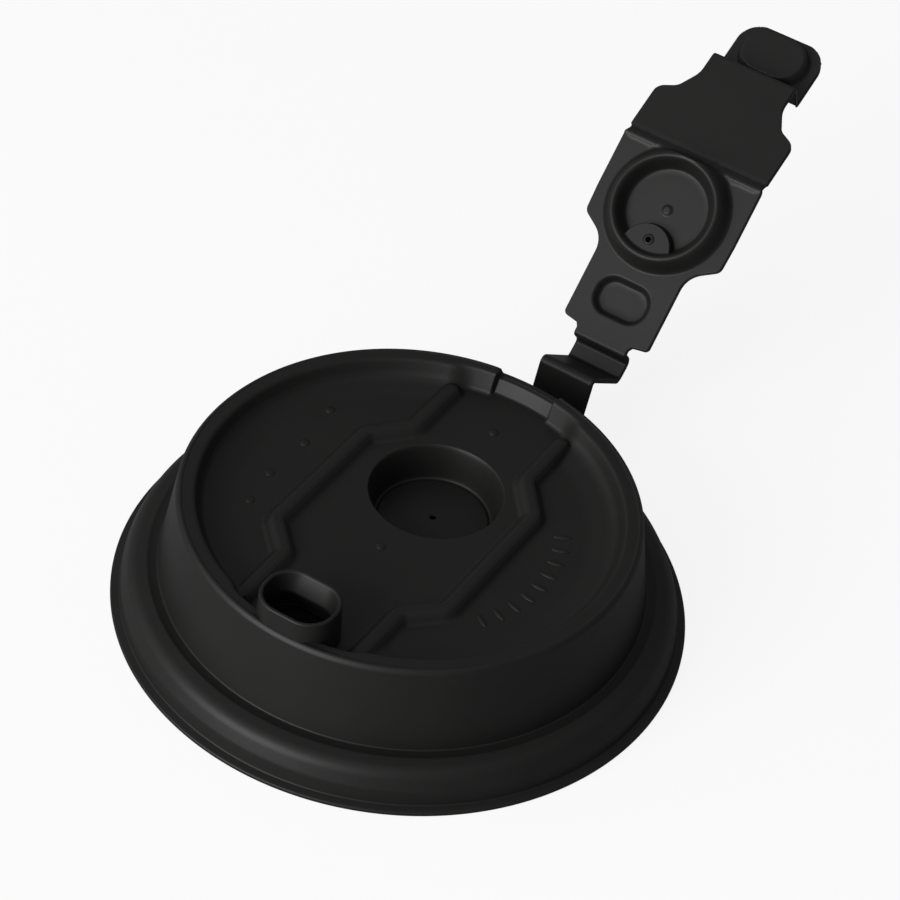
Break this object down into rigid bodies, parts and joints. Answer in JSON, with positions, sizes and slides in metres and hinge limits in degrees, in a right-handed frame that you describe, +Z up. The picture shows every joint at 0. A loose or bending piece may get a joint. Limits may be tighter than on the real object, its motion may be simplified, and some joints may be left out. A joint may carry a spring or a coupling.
{
  "type": "coffee cup lid",
  "caption": "Takeaway cup lid with a raised drinking spout, a round well and a fold-back strap whose plug and stopper close the well and the spout.",
  "frame": {"origin": "under the middle of the whole piece, lid and open strap together, on the level the lid stands on", "axes": "+Z up along the lid's axis, +Y from the spout towards the strap, +X across the lid. The lid's axis is at y = -36.5 mm."},
  "size_m": [0.093, 0.166, 0.0461],
  "materials": {
    "plastic": "satin black moulded plastic"
  },
  "bodies": {
    "root": {"lid": "plastic"}
  },
  "joints": []
}
